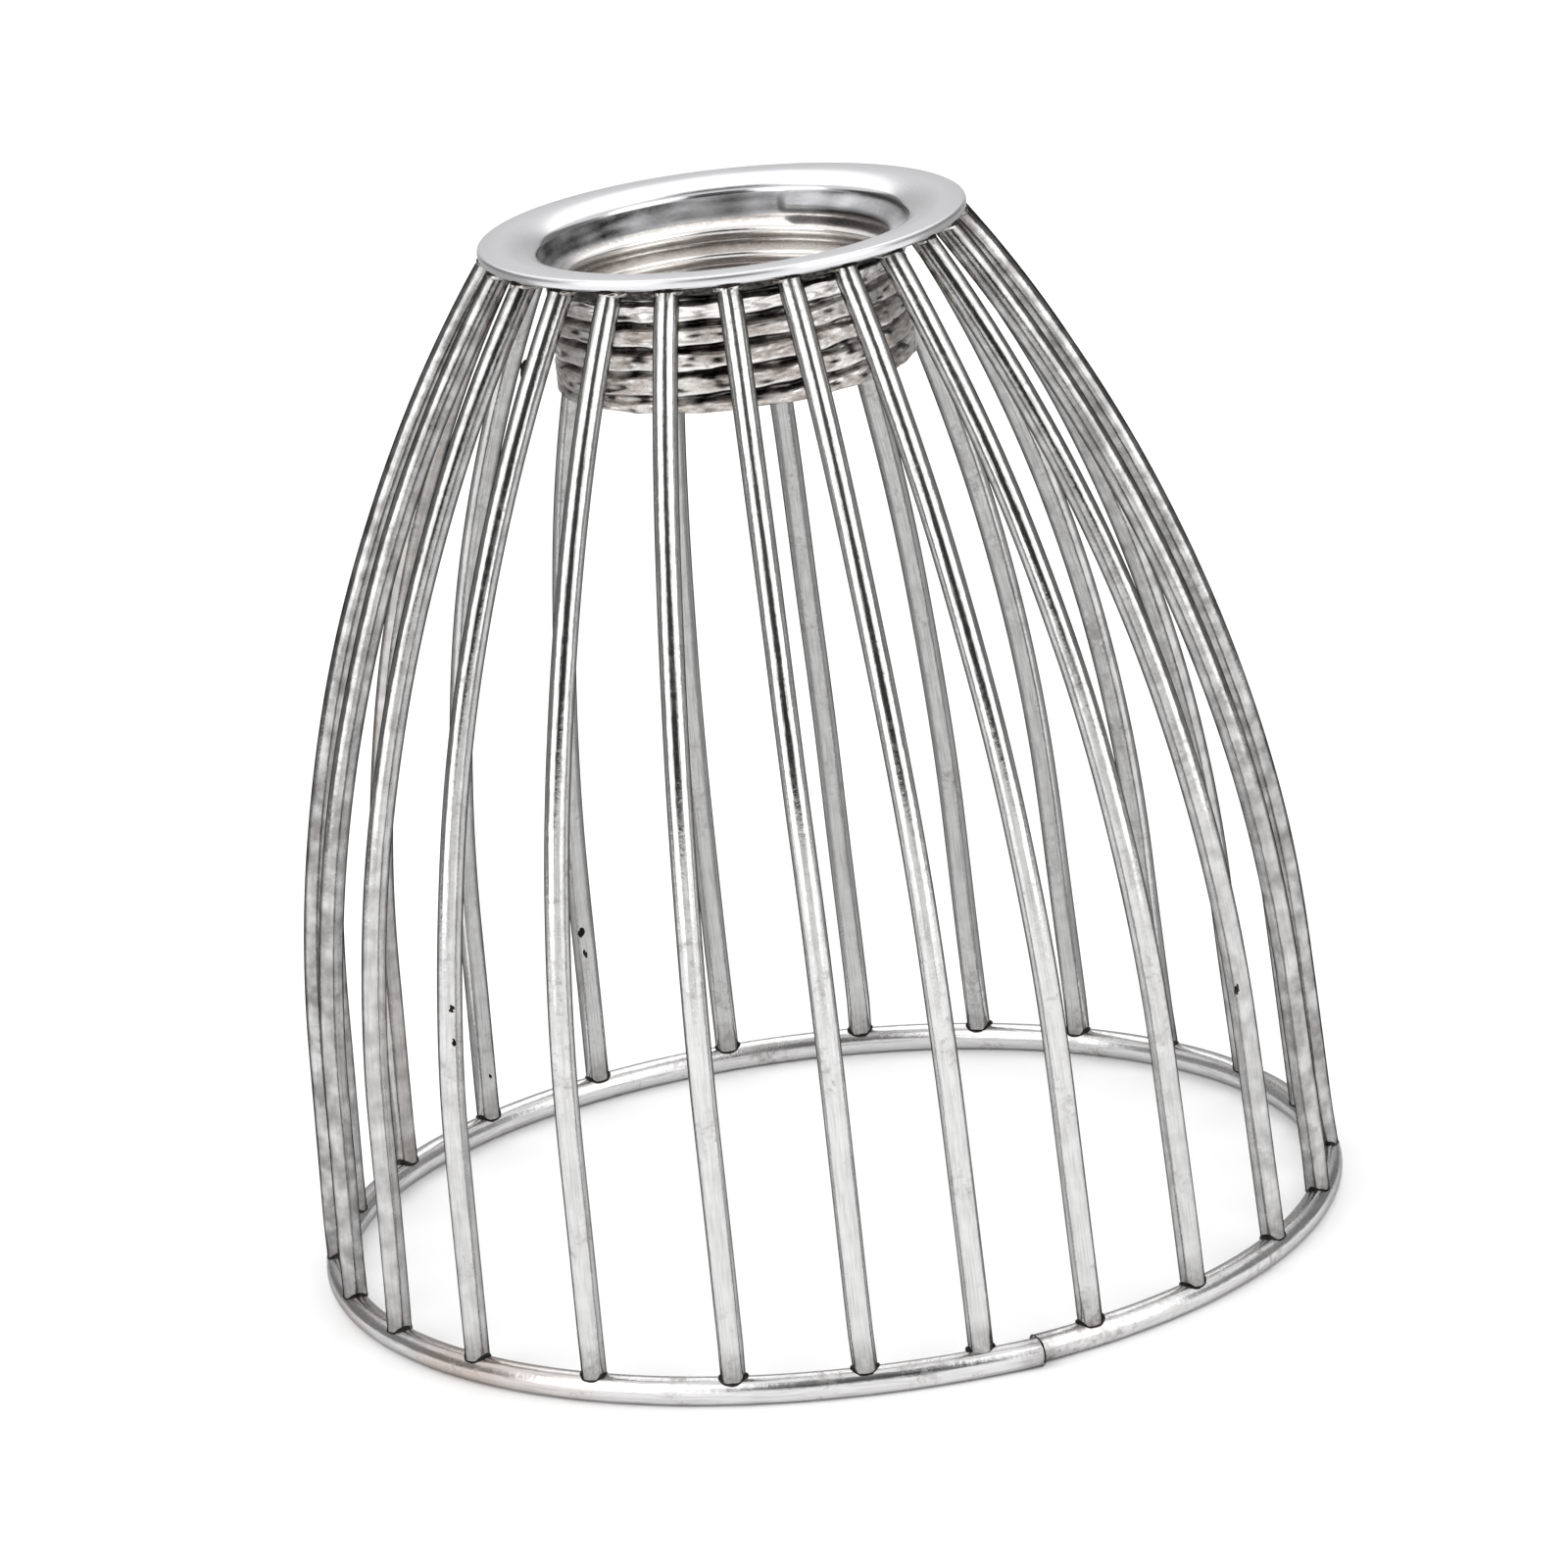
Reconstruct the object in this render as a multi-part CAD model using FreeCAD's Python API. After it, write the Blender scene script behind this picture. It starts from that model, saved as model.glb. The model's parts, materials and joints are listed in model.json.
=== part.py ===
"""Bulb cage guard: a screw-on wire basket that keeps knocks off a small lamp.

Bent wires stand on a welded wire ring and run up in a bow to the underside of a flanged,
threaded collar, which screws onto the barrel of a small lampholder. Every piece is welded to
its neighbours, so nothing moves. The guard stands on its ring, open mouth down.

Frame: millimetres, +Z up along the collar's axis, origin on the surface under the ring's centre.
Azimuth 0 faces -Y and grows towards +X.
"""
import FreeCAD
import Part
import math
import os

V = FreeCAD.Vector
UP = V(0, 0, 1)

# Base ring: one length of wire bent round, with its two ends butted a little out of line.
RING_OUTER_D = 85.0
RING_WIRE_D = 2.3
RING_JOINT_AZIMUTH = 20.5
RING_JOINT_GAP = 0.15
RING_END_DRIFT = 0.7
RING_DRIFT_ANGLE = 28.5

# Guard wires: a straight foot leaning inwards, then one bow up to the collar.
WIRE_D = 2.0
WIRE_COUNT = 24
WIRE_FIRST_AZIMUTH = -1.4
WIRE_LEAN_ANGLE = 2.3
WIRE_STRAIGHT_H = 18.6
WIRE_FOOT_SINK = 0.25
WIRE_HEAD_INSET = 1.25

# The wires were set by eye. Their places wander round the ring in slow waves, which run once
# to five times a turn: how far each swings and the angle that it starts at. Their bows are
# turned a little from the axis too, in a wave that runs four times a turn.
WIRE_DRIFT_ANGLES = (2.35, 1.0, 1.5, 0.35, 0.65)
WIRE_DRIFT_START_ANGLES = (136.0, -98.0, 96.0, 142.0, 137.0)
BOW_TURN_ANGLE = 1.6
BOW_TURN_WAVES = 4
BOW_TURN_START_ANGLE = 130.0

# Threaded collar: a flange that dips towards its hole and turns down through a round lip and
# a funnel into a sleeve, which takes the threaded barrel of a lampholder.
COLLAR_TOP_Z = 85.4
BARREL_D = 28.0
BARREL_CLEARANCE = 0.1
FLANGE_W = 5.65
FLANGE_T = 0.9
FLANGE_EDGE_R = 0.3
DIP_W = 1.62
DIP_ANGLE = 29.0
DIP_R = 5.0
UNDER_BEND_R = 1.2
LIP_R = 0.8
FUNNEL_W = 0.93
FUNNEL_ANGLE = 70.0
FUNNEL_CORNER_W = 0.42
SLEEVE_WALL = 0.5
SLEEVE_H = 12.2

# The thread is rolled into the sleeve from outside: each groove outside is a crest inside. Its groove
# is cut from below the funnel, measured from the collar's top, to just above the sleeve's end.
THREAD_PITCH = 2.0
THREAD_DEPTH = 1.0
THREAD_DROP = 4.6
THREAD_RUN_OUT = 0.8
THREAD_TOP_AZIMUTH = 53.0
GROOVE_DEPTH = 0.8
GROOVE_FLOOR_W = 0.4
GROOVE_FLANK_ANGLE = 20.0

# Places that follow from the sizes above.
RING_WIRE_R = RING_WIRE_D / 2
RING_R = RING_OUTER_D / 2 - RING_WIRE_R
RING_Z = RING_WIRE_R
FLANGE_UNDER_Z = COLLAR_TOP_Z - FLANGE_T
NECK_R = BARREL_D / 2 + BARREL_CLEARANCE
FLANGE_R = NECK_R + FLANGE_W
WIRE_HEAD_R = FLANGE_R - WIRE_HEAD_INSET
THREAD_CREST_R = BARREL_D / 2 - THREAD_DEPTH
SLEEVE_R = NECK_R + SLEEVE_WALL
SLEEVE_Z = COLLAR_TOP_Z - SLEEVE_H


def around(radius, azimuth, z=0.0):
    """Point at a radius and height on the meridian of an azimuth in degrees."""
    angle = math.radians(azimuth)
    return V(radius * math.sin(angle), -radius * math.cos(angle), z)


def bend_to(start, direction, end):
    """Arc that leaves start along direction and reaches end."""
    chord = end - start
    normal = (chord - direction * direction.dot(chord)).normalize()
    radius = chord.dot(chord) / (2 * chord.dot(normal))
    centre = start + normal * radius
    middle = centre + ((start + end) * 0.5 - centre).normalize() * radius
    return Part.Arc(start, middle, end).toShape()


def round_bar(edges, start, direction, radius):
    """Round bar swept along edges that begin at start in the given direction."""
    section = Part.Face(Part.Wire(Part.makeCircle(radius, start, direction)))
    return Part.Wire(edges).makePipe(section)


def rounded_outline(corners):
    """Closed outline in the XZ plane through (x, z, rounding) corners."""
    points = [V(x, 0, z) for x, z, rounding in corners]
    edges = []
    runs = []
    for i, (x, z, rounding) in enumerate(corners):
        point = points[i]
        back = (points[i - 1] - point).normalize()
        ahead = (points[(i + 1) % len(points)] - point).normalize()
        if rounding == 0:
            runs.append((point, point))
            continue
        half_turn = back.getAngle(ahead) / 2
        setback = rounding / math.tan(half_turn)
        bisector = (back + ahead).normalize()
        middle = point + bisector * (rounding / math.sin(half_turn) - rounding)
        first = point + back * setback
        last = point + ahead * setback
        edges.append(Part.Arc(first, middle, last).toShape())
        runs.append((first, last))
    for i, (first, last) in enumerate(runs):
        edges.append(Part.LineSegment(runs[i - 1][1], first).toShape())
    return Part.Wire(Part.sortEdges(edges)[0])


def make_base_ring():
    """Wire ring whose last stretch drifts outwards, so that its ends meet with a step."""
    half_gap = math.degrees(RING_JOINT_GAP / 2 / RING_R)
    start_azimuth = RING_JOINT_AZIMUTH + half_gap
    drift_azimuth = RING_JOINT_AZIMUTH - RING_DRIFT_ANGLE + 360
    middle_azimuth = (start_azimuth + drift_azimuth) / 2
    start = around(RING_R, start_azimuth, RING_Z)
    middle = around(RING_R, middle_azimuth, RING_Z)
    drift = around(RING_R, drift_azimuth, RING_Z)
    end = around(RING_R + RING_END_DRIFT, RING_JOINT_AZIMUTH - half_gap, RING_Z)
    round_run = Part.Arc(start, middle, drift).toShape()
    drift_run = bend_to(drift, UP.cross(around(1, drift_azimuth)), end)
    return round_bar([round_run, drift_run], start, UP.cross(around(1, start_azimuth)), RING_WIRE_R)


def make_thread_groove():
    """Right-hand helical groove that the thread roll pressed into the sleeve from outside."""
    height = SLEEVE_H - THREAD_DROP - THREAD_RUN_OUT
    helix = Part.makeHelix(THREAD_PITCH, height, SLEEVE_R)
    floor_r = SLEEVE_R - GROOVE_DEPTH
    clear_r = SLEEVE_R + GROOVE_DEPTH / 2
    floor_half = GROOVE_FLOOR_W / 2
    clear_half = floor_half + (clear_r - floor_r) * math.tan(math.radians(GROOVE_FLANK_ANGLE))
    corners = [(floor_r, -floor_half), (clear_r, -clear_half), (clear_r, clear_half), (floor_r, floor_half)]
    section = Part.makePolygon([V(x, 0, z) for x, z in corners + corners[:1]])
    groove = Part.Wire(helix).makePipeShell([section], True, True)
    top_angle = 360 * height / THREAD_PITCH
    groove.rotate(V(0, 0, 0), UP, THREAD_TOP_AZIMUTH - 90 - top_angle)
    groove.translate(V(0, 0, SLEEVE_Z + THREAD_RUN_OUT))
    return groove


def make_collar():
    """Flange, lip, funnel and sleeve turned from one section. The thread's crests set the bore."""
    dip = math.tan(math.radians(DIP_ANGLE))
    steep = math.tan(math.radians(FUNNEL_ANGLE))
    lip_r = NECK_R + FUNNEL_W
    dip_r = lip_r + DIP_W
    lip_z = COLLAR_TOP_Z - DIP_W * dip
    neck_z = lip_z - FUNNEL_W * steep
    lead_in_z = neck_z - (NECK_R - THREAD_CREST_R)
    corner_r = lip_r + FUNNEL_CORNER_W
    corner_z = FLANGE_UNDER_Z - (dip_r - corner_r) * dip
    sleeve_top_z = corner_z - (corner_r - SLEEVE_R) * steep
    section = rounded_outline([
        (FLANGE_R, COLLAR_TOP_Z, FLANGE_EDGE_R),
        (dip_r, COLLAR_TOP_Z, DIP_R),
        (lip_r, lip_z, LIP_R),
        (NECK_R, neck_z, 0),
        (THREAD_CREST_R, lead_in_z, 0),
        (THREAD_CREST_R, SLEEVE_Z, 0),
        (SLEEVE_R, SLEEVE_Z, 0),
        (SLEEVE_R, sleeve_top_z, 0),
        (corner_r, corner_z, 0),
        (dip_r, FLANGE_UNDER_Z, UNDER_BEND_R),
        (FLANGE_R, FLANGE_UNDER_Z, FLANGE_EDGE_R),
    ])
    return Part.Face(section).revolve(V(0, 0, 0), UP, 360).cut(make_thread_groove())


def wire_azimuth(number):
    """Azimuth of a wire, counted from 0, with the drift of its hand-set place."""
    even = 360 * number / WIRE_COUNT
    drift = 0.0
    for turn, (swing, start) in enumerate(zip(WIRE_DRIFT_ANGLES, WIRE_DRIFT_START_ANGLES), 1):
        drift += swing * math.sin(math.radians(turn * even + start))
    return WIRE_FIRST_AZIMUTH + even + drift


def bow_turn(number):
    """Angle that a wire's bow is turned from the axis."""
    even = 360 * number / WIRE_COUNT
    return BOW_TURN_ANGLE * math.sin(math.radians(BOW_TURN_WAVES * even + BOW_TURN_START_ANGLE))


def make_guard_wire(azimuth, turn, base_ring):
    """Bent wire, its square-cut foot sunk a little in the ring, its head flush under the flange."""
    lean = math.radians(WIRE_LEAN_ANGLE)
    inwards = around(-1, azimuth + turn)
    direction = inwards * math.sin(lean) + UP * math.cos(lean)
    seat = around(RING_R, azimuth, RING_Z)
    foot = seat + direction * ((RING_WIRE_R - WIRE_FOOT_SINK) / math.cos(lean))
    bow_start = seat + direction * (WIRE_STRAIGHT_H / math.cos(lean))
    head = seat + inwards * (RING_R - WIRE_HEAD_R) + UP * (FLANGE_UNDER_Z - RING_Z)
    bow = bend_to(bow_start, direction, head)
    straight = Part.LineSegment(foot, bow_start).toShape()
    overrun = Part.LineSegment(head, head + bow.tangentAt(bow.LastParameter) * WIRE_D).toShape()
    bar = round_bar([straight, bow, overrun], foot, direction, WIRE_D / 2)
    above_flange = Part.makeCylinder(RING_OUTER_D, COLLAR_TOP_Z, V(0, 0, FLANGE_UNDER_Z))
    return bar.cut(above_flange).cut(base_ring)


def single_solid(shape, node):
    """The one valid solid that a node has to be."""
    solids = shape.Solids
    if len(solids) != 1 or not solids[0].isValid():
        raise ValueError(f"{node} came out as {len(solids)} solids")
    return solids[0]


def make_parts():
    """Every piece of the guard by node name."""
    base_ring = make_base_ring()
    parts = {"threaded_collar": make_collar(), "base_ring": base_ring}
    for number in range(WIRE_COUNT):
        wire = make_guard_wire(wire_azimuth(number), bow_turn(number), base_ring)
        parts[f"guard_wire_{number + 1:02d}"] = wire
    return parts


os.makedirs("parts", exist_ok=True)
for node, shape in make_parts().items():
    solid = single_solid(shape, node)
    solid.exportStep(f"parts/{node}.step")
    print(f"{node}: {solid.Volume:.1f} mm3")
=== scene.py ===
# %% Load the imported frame
import json
import math

import bmesh
import bpy
from mathutils import Matrix, Vector, noise


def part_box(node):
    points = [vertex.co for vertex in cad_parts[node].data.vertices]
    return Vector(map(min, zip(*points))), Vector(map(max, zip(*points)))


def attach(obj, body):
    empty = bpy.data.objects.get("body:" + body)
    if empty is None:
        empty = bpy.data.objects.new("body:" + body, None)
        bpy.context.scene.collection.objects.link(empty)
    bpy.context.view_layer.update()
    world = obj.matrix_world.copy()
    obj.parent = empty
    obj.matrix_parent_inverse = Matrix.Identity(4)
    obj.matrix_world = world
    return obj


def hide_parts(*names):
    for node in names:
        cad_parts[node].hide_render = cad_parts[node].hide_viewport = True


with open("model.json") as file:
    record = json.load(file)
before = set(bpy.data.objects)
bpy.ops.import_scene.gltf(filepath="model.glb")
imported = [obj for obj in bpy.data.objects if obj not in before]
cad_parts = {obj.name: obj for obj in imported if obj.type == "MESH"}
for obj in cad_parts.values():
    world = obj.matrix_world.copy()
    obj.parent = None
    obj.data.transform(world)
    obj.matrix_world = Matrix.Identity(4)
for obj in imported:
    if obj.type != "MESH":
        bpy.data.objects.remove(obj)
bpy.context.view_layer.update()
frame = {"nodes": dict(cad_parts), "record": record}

MM = 0.001

# %% [markdown]
# ## Sizes
# The guard is a bell of bright wires: each stands on a wire ring and bows up to a flanged, threaded
# collar. The frame already holds every piece at its real size, so the outer sizes are read from its
# boxes. What a box can't tell, such as the lean of a wire's foot, is named in real units in the step
# that needs it first.

# %% Sizes read from the frame
ring_low, ring_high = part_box("base_ring")
collar_low, collar_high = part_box("threaded_collar")
RING_WIRE_R = (ring_high.z - ring_low.z) / 2
RING_R = (ring_high.x - ring_low.x) / 2 - RING_WIRE_R
FLANGE_R = (collar_high.x - collar_low.x) / 2
COLLAR_TOP = collar_high.z
SLEEVE_END = collar_low.z
THREAD_CREST_R = frame["record"]["mounts"][0]["dims"]["r_mm"] * MM
WIRE_NODES = sorted(name for name in frame["nodes"] if name.startswith("guard_wire"))
print("ring radius", round(RING_R / MM, 2), "flange radius", round(FLANGE_R / MM, 2))
print("bore radius", round(THREAD_CREST_R / MM, 2), "wires", len(WIRE_NODES))

# %% [markdown]
# ## One helper for every node tree
# Shader trees and Geometry Nodes trees are both nodes with settings and links. A single function that
# adds a node, sets its properties, fills or links its inputs and hands back one of its outputs keeps the
# trees below readable, and the kinds of node used most get short names. Colours are written as sRGB hex
# values, and a second function makes them linear.

# %% Add a node and read a colour
MATH = "ShaderNodeMath"
VECTOR_MATH = "ShaderNodeVectorMath"
COMBINE = "ShaderNodeCombineXYZ"
MAP_RANGE = "ShaderNodeMapRange"
NOISE = "ShaderNodeTexNoise"
STORE = "GeometryNodeStoreNamedAttribute"
SET_POSITION = "GeometryNodeSetPosition"


def add(tree, kind, inputs=None, out=0, **settings):
    """Add a node, set its properties, fill or link its inputs, and return the output asked for."""
    made = tree.nodes.new(kind)
    for name, value in settings.items():
        setattr(made, name, value)
    for key, value in (inputs or {}).items():
        if isinstance(value, bpy.types.NodeSocket):
            tree.links.new(value, made.inputs[key])
        else:
            made.inputs[key].default_value = value
    return made.outputs[out] if made.outputs else None


def linear(hex_colour):
    """An sRGB hex colour as the linear RGBA that shaders take."""
    channels = [int(hex_colour[i:i + 2], 16) / 255 for i in (1, 3, 5)]
    return [c / 12.92 if c <= 0.04045 else ((c + 0.055) / 1.055) ** 2.4 for c in channels] + [1.0]


print("white is", linear("#FFFFFF"))

# %% [markdown]
# ## Bright plated wire
# Drawn steel wire with a bright plating: a mirror with a faint haze, fine drawn lines along its length,
# a slow waviness that makes reflections wander, small dull stains and a dark heat tint near the welds.
# The wires carry their own coordinates: how far along the wire a point is and which way it faces
# round it. So lines and tints follow the wire whichever way it bends. Plated metal goes dark just
# before its edge, which the dark specular tint gives: it outlines each wire on the white floor. The
# ring is duller and lies on the pale floor, so its edge stays light.

# %% Material of the wires and the ring
SPOT_SIZE = 0.6 * MM
BLOTCH_SIZE = 1.5 * MM
WAVE_SIZE = 3.5 * MM
PATCH_SIZE = 6 * MM
BROWNING_SIZE = 12 * MM
HEAT_TINT = "#4A4541"
# Grey of the painted shade blotches on the wires at the left and right sides.
SIDE_SHADE_GREY = "#868482"


def new_metal(name):
    """A metal material, with its tree, its shader and the object coordinates to pattern it by."""
    material = bpy.data.materials.new(name)
    material.use_nodes = True
    tree = material.node_tree
    shader = tree.nodes["Principled BSDF"]
    shader.inputs["Metallic"].default_value = 1.0
    return material, tree, shader, add(tree, "ShaderNodeTexCoord", out="Object")


def layered(tree, colour, layers):
    """A colour with others laid over it, each by its own share from 0 to 1."""
    for share, over in layers:
        colour = add(tree, "ShaderNodeMix", {"Factor": share, 6: colour, 7: linear(over)}, out=2,
                     data_type="RGBA")
    return colour


def plated_wire(name, clean, brown, stain, haze, edge):
    """Bright plated drawn steel wire: clean, browner and stained colour, roughness and edge tint."""
    material, tree, shader, place = new_metal(name)
    along, weld, warm, worn = [add(tree, "ShaderNodeAttribute", out="Fac", attribute_name=number)
                               for number in ("along", "weld", "warm", "worn")]
    around = add(tree, "ShaderNodeAttribute", out="Vector", attribute_name="around")

    # Drawn lines: noise on the way round the wire that hardly changes along it. They are coarser than
    # real ones, so that they show.
    stretched = add(tree, MATH, {0: along, 1: 0.04}, operation="MULTIPLY")
    lift = add(tree, COMBINE, {"Z": stretched})
    drawn_at = add(tree, VECTOR_MATH, {0: around, 1: lift}, operation="ADD")
    drawn = add(tree, NOISE, {"Vector": drawn_at, "Scale": 7.0, "Detail": 2.0}, out="Fac")
    streaks = add(tree, MAP_RANGE, {"Value": drawn, "From Min": 0.45, "From Max": 0.75, "To Max": 0.7})

    # Dull spots that gather in patches, darker blotches painted as shade on the wires at the sides, the
    # uneven brown of a tired bath and slow waves: the size of each, its finer detail and how rough that is.
    spots, patches, blotch, uneven, waves = [
        add(tree, NOISE, {"Vector": place, "Scale": 1 / size, "Detail": detail,
                          "Roughness": roughness}, out="Fac")
        for size, detail, roughness in ((SPOT_SIZE, 4.0, 0.6), (PATCH_SIZE, 2.0, 0.5),
                                        (BLOTCH_SIZE, 4.0, 0.5), (BROWNING_SIZE, 1.0, 0.5),
                                        (WAVE_SIZE, 2.0, 0.4))]
    both = add(tree, MATH, {0: spots, 1: patches}, operation="MULTIPLY")
    dull = add(tree, MAP_RANGE, {"Value": both, "From Min": 0.29, "From Max": 0.46})
    dimmed = add(tree, MATH, {0: dull, 1: streaks}, operation="MAXIMUM")
    blotch = add(tree, MAP_RANGE, {"Value": blotch, "From Min": 0.3, "From Max": 0.66, "To Min": 0.25})
    # Painted shade: the blotches darken only the wires at the left and right sides.
    side_blotches = add(tree, MATH, {0: blotch, 1: worn}, operation="MULTIPLY")
    uneven = add(tree, MAP_RANGE, {"Value": uneven, "From Min": 0.35, "From Max": 0.6})
    browned = add(tree, MATH, {0: warm, 1: uneven}, operation="MULTIPLY")
    burnt = add(tree, MATH, {0: weld, 1: spots}, operation="MULTIPLY")
    colour = layered(tree, linear(clean), ((browned, brown), (dimmed, stain), (side_blotches, SIDE_SHADE_GREY),
                                           (burnt, HEAT_TINT)))
    rough = add(tree, MAP_RANGE, {"Value": dull, "To Min": haze, "To Max": haze + 0.16})

    # Three depths of relief: drawn lines, pits and the slow waves.
    relief = add(tree, "ShaderNodeBump", {"Height": drawn, "Strength": 0.5, "Distance": 0.02 * MM})
    for height, depth in ((spots, 0.035 * MM), (waves, 0.05 * MM)):
        relief = add(tree, "ShaderNodeBump", {"Height": height, "Strength": 0.6, "Distance": depth,
                                              "Normal": relief})
    for socket, value in (("Base Color", colour), ("Roughness", rough), ("Normal", relief)):
        tree.links.new(value, shader.inputs[socket])
    shader.inputs["Specular Tint"].default_value = linear(edge)
    return material


wire_finish = plated_wire("bright_plated_drawn_wire", "#DCDCDB", "#DAD4D0", "#B0AEAB", 0.14, "#101010")
ring_finish = plated_wire("bright_plated_ring_wire", "#E2E1E2", "#D3C7C0", "#B4B1AE", 0.22, "#B0B0B0")
print("finishes:", wire_finish.name, ring_finish.name)

# %% [markdown]
# ## Collar and weld finishes
# The collar is pressed from one sheet and plated. Its flange is satin, evened by tumbling. Its lip and
# bore slid over the punch, which left them bright. Its sleeve was rolled into a thread, which leaves
# the lands scuffed and a little brown. A near-black laid over the sheet holds both grime and painted
# shade, in the grooves, folds and troughs and under the flange. Weld metal is lumpy, and burnt dark
# where it met the ring; that dark finish is also painted shade in the gaps at the welds.

# %% Materials of the collar and the welds
SHEET_PATCH_SIZE = 5 * MM
POLISHED_ROUGHNESS = 0.1
# Near-black laid over the collar: grime, and painted shade in the grooves, folds, troughs and under the
# flange.
GRIME_AND_SHADE = "#0D0B0A"


def pressed_sheet(name, clean, stain, haze, grain_size, scuff):
    """Plated pressed steel: colours, base roughness, size of its grain and depth of its scuffs."""
    material, tree, shader, place = new_metal(name)
    polish_and_highlight, grime_and_shade = [add(tree, "ShaderNodeAttribute", out="Fac", attribute_name=number)
                     for number in ("polish_and_highlight", "grime_and_shade")]
    squeezed = add(tree, "ShaderNodeMapping", {"Vector": place, "Scale": (1, 1, 2.5)})
    grain = add(tree, NOISE, {"Vector": squeezed, "Scale": 1 / grain_size, "Detail": 5.0,
                              "Roughness": 0.65}, out="Fac")
    patches = add(tree, NOISE, {"Vector": place, "Scale": 1 / SHEET_PATCH_SIZE, "Detail": 3.0}, out="Fac")
    both = add(tree, MATH, {0: grain, 1: patches}, operation="MULTIPLY")
    dull = add(tree, MAP_RANGE, {"Value": both, "From Min": 0.12, "From Max": 0.32})
    unworn = add(tree, MATH, {0: 1.0, 1: polish_and_highlight}, operation="SUBTRACT")
    dull = add(tree, MATH, {0: dull, 1: unworn}, operation="MULTIPLY")
    patchy = add(tree, MAP_RANGE, {"Value": grain, "From Min": 0.3, "From Max": 0.6,
                                   "To Min": 0.88, "To Max": 1.0})
    # Painted shade and grime: the near-black goes where that number is high, a little patchy.
    darkened = add(tree, MATH, {0: grime_and_shade, 1: patchy}, operation="MULTIPLY")
    colour = layered(tree, linear(clean), ((dull, stain), (darkened, GRIME_AND_SHADE)))
    matt = add(tree, MAP_RANGE, {"Value": polish_and_highlight, "To Min": haze, "To Max": POLISHED_ROUGHNESS})
    rough = add(tree, MATH, {0: grain, 1: 0.12, 2: matt}, operation="MULTIPLY_ADD")
    relief = add(tree, "ShaderNodeBump", {"Height": grain, "Strength": 0.6, "Distance": scuff})
    for socket, value in (("Base Color", colour), ("Roughness", rough), ("Normal", relief)):
        tree.links.new(value, shader.inputs[socket])
    return material


flange_finish = pressed_sheet("satin_plated_pressed_steel", "#D6D6D8", "#CCCCCE", 0.5, 0.5 * MM, 0.004 * MM)
thread_finish = pressed_sheet("rolled_thread_plated_steel", "#F0EDEA", "#A89D96", 0.3, 0.5 * MM, 0.02 * MM)
weld_finish = pressed_sheet("bright_weld_metal", "#D2D0CE", "#8A847E", 0.12, 0.5 * MM, 0.04 * MM)
# Dark finish of burnt weld metal and spatter; on the seams it is also painted shade in the gaps at the feet,
# under the flange and at the ring's joint.
burnt_and_shade_finish = pressed_sheet("burnt_weld_and_painted_shade", "#3C3835", "#1C1A18", 0.4, 0.4 * MM, 0.04 * MM)
print("finishes:", flange_finish.name, thread_finish.name, weld_finish.name, burnt_and_shade_finish.name)

# %% [markdown]
# ## Growing a piece from a Geometry Nodes tree
# What repeats or follows a path is grown by nodes: a seed mesh goes in, the tree does the work, and
# the result is kept as a plain mesh at the origin, so nothing is left to evaluate later.

# %% Trees with named inputs, and how a piece is grown
SHARP_EDGE = math.radians(50)


def new_tree(name, sockets):
    """A Geometry Nodes tree with a seed mesh in, a mesh out and named number inputs."""
    tree = bpy.data.node_groups.new(name, "GeometryNodeTree")
    tree.interface.new_socket("Seed", in_out="INPUT", socket_type="NodeSocketGeometry")
    for socket_name in sockets:
        tree.interface.new_socket(socket_name, in_out="INPUT", socket_type="NodeSocketFloat")
    tree.interface.new_socket("Mesh", in_out="OUTPUT", socket_type="NodeSocketGeometry")
    return tree, add(tree, "NodeGroupInput").node.outputs


def close_tree(tree, geometry, material):
    """End a tree: realize its instances, shade them smooth and set their material."""
    real = add(tree, "GeometryNodeRealizeInstances", {"Geometry": geometry})
    smooth = add(tree, "GeometryNodeSetShadeSmooth", {"Geometry": real})
    finished = add(tree, "GeometryNodeSetMaterial", {"Geometry": smooth, "Material": material})
    add(tree, "NodeGroupOutput", {"Mesh": finished})


def grow(name, seed, tree, values):
    """Run a tree on a seed mesh and keep the result as a plain mesh."""
    piece = bpy.data.objects.new(name, seed)
    bpy.context.scene.collection.objects.link(piece)
    modifier = piece.modifiers.new(tree.name, "NODES")
    modifier.node_group = tree
    for item in tree.interface.items_tree:
        if item.in_out == "INPUT" and item.name in values:
            modifier[item.identifier] = values[item.name]
    depsgraph = bpy.context.evaluated_depsgraph_get()
    plain = bpy.data.meshes.new_from_object(piece.evaluated_get(depsgraph),
                                            preserve_all_data_layers=True, depsgraph=depsgraph)
    piece.modifiers.remove(modifier)
    piece.data = plain
    plain.name = name
    plain.set_sharp_from_angle(angle=SHARP_EDGE)
    print(name, "has", len(plain.polygons), "faces")
    return piece


def seed_mesh(name, points, **numbers):
    """A mesh of loose points, each with its own numbers as attributes."""
    mesh = bpy.data.meshes.new(name)
    mesh.from_pydata(points, [], [])
    for number_name, values in numbers.items():
        mesh.attributes.new(number_name, "FLOAT", "POINT").data.foreach_set("value", values)
    return mesh


# %% [markdown]
# ## Guard wires
# Each wire is a straight foot that leans in a little, then one long bow. A straight line of points is
# bent by that rule: up to the end of the straight, points go on along the lean, and past it the angle
# grows evenly with length. A round section makes the tube, its head is slid back along the wire to lie
# flush under the flange, and one wire is then set on the ring at each place where the welder put it.
# Those places wander a little, and so does the way that each bow is turned. Two wires came from a
# browner bath than the rest, and those at the left and right sides carry darker blotches: painted shade
# for the wires that crowd beside them there when seen from the front.

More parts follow.
